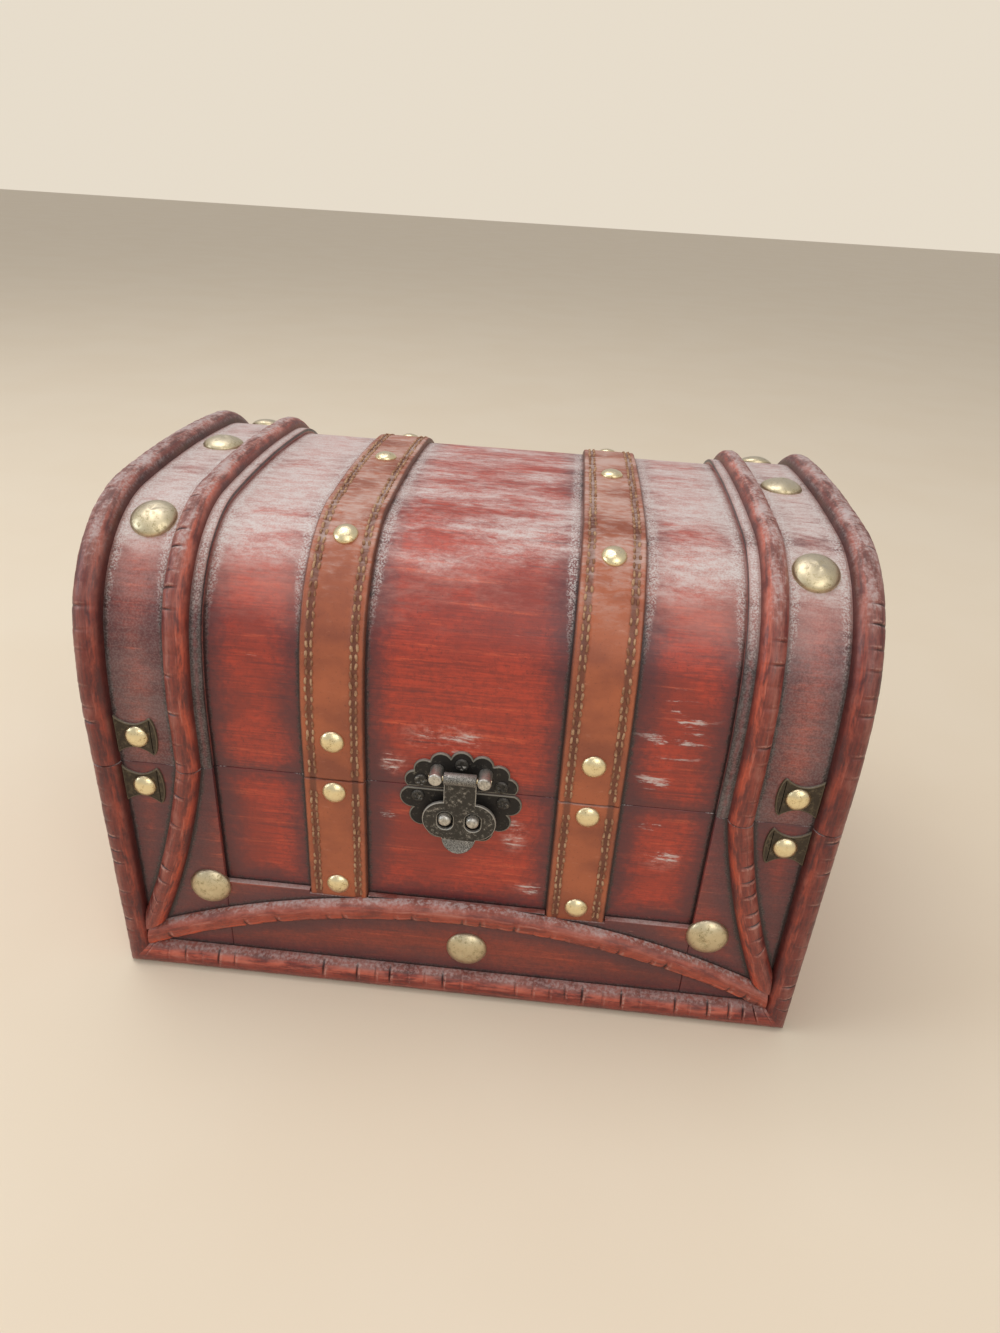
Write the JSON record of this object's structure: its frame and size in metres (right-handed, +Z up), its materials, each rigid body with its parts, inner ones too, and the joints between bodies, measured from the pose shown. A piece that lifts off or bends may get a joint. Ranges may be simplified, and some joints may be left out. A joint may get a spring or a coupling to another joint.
{
  "type": "treasure chest",
  "caption": "Dome-topped treasure chest with a hinged lid, leather straps, half-round mouldings, domed nails and a swing hasp.",
  "frame": {"origin": "centre of the flat underside that the chest stands on", "axes": "+Z up, -Y out of the front with the hasp, +X along the length to the viewer's right"},
  "size_m": [0.24, 0.1745, 0.1744],
  "materials": {
    "panel_wood": "stained, satin",
    "box_wood": "stained, satin",
    "band_wood": "stained, satin",
    "moulding_wood": "stained, satin",
    "leather": "smooth, light sheen",
    "antique_brass": "antiqued",
    "antique_bronze": "bronzed, worn edges",
    "brass": "brassed"
  },
  "bodies": {
    "base": {"base_arch_moulding": "moulding_wood", "base_back_band_bottom": "band_wood", "base_back_band_left": "band_wood", "base_back_band_right": "band_wood", "base_back_moulding_bottom": "moulding_wood", "base_back_moulding_left": "moulding_wood", "base_back_moulding_right": "moulding_wood", "base_back_panel": "panel_wood", "base_back_strap_left": "leather", "base_back_strap_right": "leather", "base_big_nails": "antique_brass", "base_bottom_board": "box_wood", "base_bracket_left": "moulding_wood", "base_bracket_right": "moulding_wood", "base_corner_plate_left": "antique_bronze", "base_corner_plate_right": "antique_bronze", "base_front_band_bottom": "band_wood", "base_front_band_left": "band_wood", "base_front_band_right": "band_wood", "base_front_moulding_bottom": "moulding_wood", "base_front_moulding_left": "moulding_wood", "base_front_moulding_right": "moulding_wood", "base_front_panel": "panel_wood", "base_front_strap_left": "leather", "base_front_strap_right": "leather", "base_left_panel": "box_wood", "base_right_panel": "box_wood", "base_small_nails": "antique_brass", "hinge_base_leaf_left": "brass", "hinge_base_leaf_right": "brass", "hinge_base_screws": "brass", "hinge_pins": "brass", "latch_lower_plate": "antique_bronze", "latch_lower_screws": "antique_bronze", "latch_studs": "antique_bronze"},
    "lid": {"hinge_lid_leaf_left": "brass", "hinge_lid_leaf_right": "brass", "hinge_lid_screws": "brass", "latch_pin": "antique_bronze", "latch_upper_plate": "antique_bronze", "latch_upper_screws": "antique_bronze", "lid_back_rail": "box_wood", "lid_band_left": "band_wood", "lid_band_right": "band_wood", "lid_big_nails": "antique_brass", "lid_corner_plate_left": "antique_bronze", "lid_corner_plate_right": "antique_bronze", "lid_edge_moulding_left": "moulding_wood", "lid_edge_moulding_right": "moulding_wood", "lid_front_rail": "box_wood", "lid_inner_moulding_left": "moulding_wood", "lid_inner_moulding_right": "moulding_wood", "lid_left_end": "box_wood", "lid_right_end": "box_wood", "lid_sheet": "panel_wood", "lid_small_nails": "antique_brass", "lid_strap_left": "leather", "lid_strap_right": "leather"},
    "hasp": {"hasp": "antique_bronze"}
  },
  "joints": [
    {"name": "lid_hinge", "type": "hinge", "parent": "base", "child": "lid", "pos_m": [0, 0.083, 0.089], "axis": [-1, 0, 0], "range_deg": [0, 105]},
    {"name": "hasp_hinge", "type": "hinge", "parent": "lid", "child": "hasp", "pos_m": [0, -0.0855, 0.0964], "axis": [-1, 0, 0], "range_deg": [0, 150]}
  ]
}
